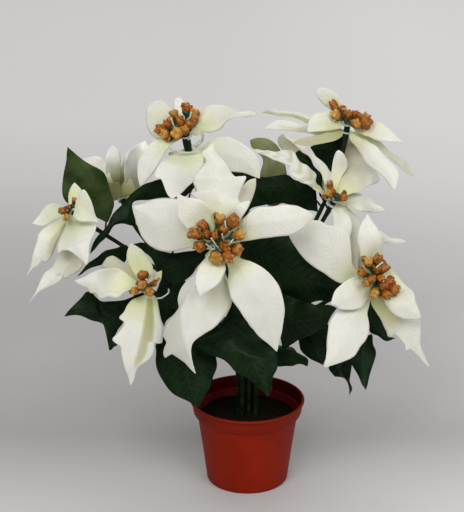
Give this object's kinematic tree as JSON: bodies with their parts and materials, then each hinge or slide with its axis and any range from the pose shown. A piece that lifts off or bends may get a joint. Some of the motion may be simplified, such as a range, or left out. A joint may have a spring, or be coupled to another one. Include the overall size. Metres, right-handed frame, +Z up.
{
  "type": "potted poinsettia",
  "caption": "Artificial poinsettia with fabric bracts and leaves on wired stems, set in dark filler in a tapered nursery pot; it stands on a table or shelf.",
  "frame": {"origin": "middle of the pot's underside", "axes": "+Z up, -Y towards the plant's front, +X to the right seen from the front"},
  "size_m": [0.3757, 0.2651, 0.3857],
  "materials": {
    "pot": "moulded, slight sheen",
    "filler": "rough, dark, grainy",
    "stem": "satin, ribbed",
    "bract": "matt pressed cloth, yellow-green at the base",
    "bud": "satin",
    "leaf": "pressed cloth with a waxy sheen"
  },
  "bodies": {
    "root": {"bracts_back": "bract", "bracts_back_left": "bract", "bracts_back_right": "bract", "buds_back": "bud", "buds_back_left": "bud", "buds_back_right": "bud", "buds_front": "bud", "buds_lower_left": "bud", "buds_lower_right": "bud", "buds_mid_left": "bud", "buds_mid_right": "bud", "buds_upper_left": "bud", "buds_upper_right": "bud", "leaf_back_low_left": "leaf", "leaf_back_low_right": "leaf", "leaf_centre_front": "leaf", "leaf_curved_strip": "leaf", "leaf_front_left": "leaf", "leaf_left_inner": "leaf", "leaf_left_under": "leaf", "leaf_long_left": "leaf", "leaf_lower_big": "leaf", "leaf_lower_left": "leaf", "leaf_olive": "leaf", "leaf_right_down": "leaf", "leaf_right_mass": "leaf", "leaf_right_mass_low": "leaf", "leaf_right_tip": "leaf", "leaf_right_tip_low": "leaf", "leaf_right_under": "leaf", "leaf_small_right": "leaf", "leaf_upper_middle": "leaf", "leaf_upper_right_leaf": "leaf", "leaf_upright": "leaf", "lower_bracts_front": "bract", "lower_bracts_lower_left": "bract", "lower_bracts_lower_right": "bract", "lower_bracts_mid_left": "bract", "lower_bracts_mid_right": "bract", "lower_bracts_upper_left": "bract", "lower_bracts_upper_right": "bract", "pot": "pot", "soil": "filler", "stem_back": "stem", "stem_back_left": "stem", "stem_back_right": "stem", "stem_front": "stem", "stem_lower_left": "stem", "stem_lower_right": "stem", "stem_mid_left": "stem", "stem_mid_right": "stem", "stem_upper_left": "stem", "stem_upper_right": "stem", "upper_bracts_front": "bract", "upper_bracts_lower_left": "bract", "upper_bracts_lower_right": "bract", "upper_bracts_mid_left": "bract", "upper_bracts_mid_right": "bract", "upper_bracts_upper_left": "bract", "upper_bracts_upper_right": "bract"}
  },
  "joints": []
}
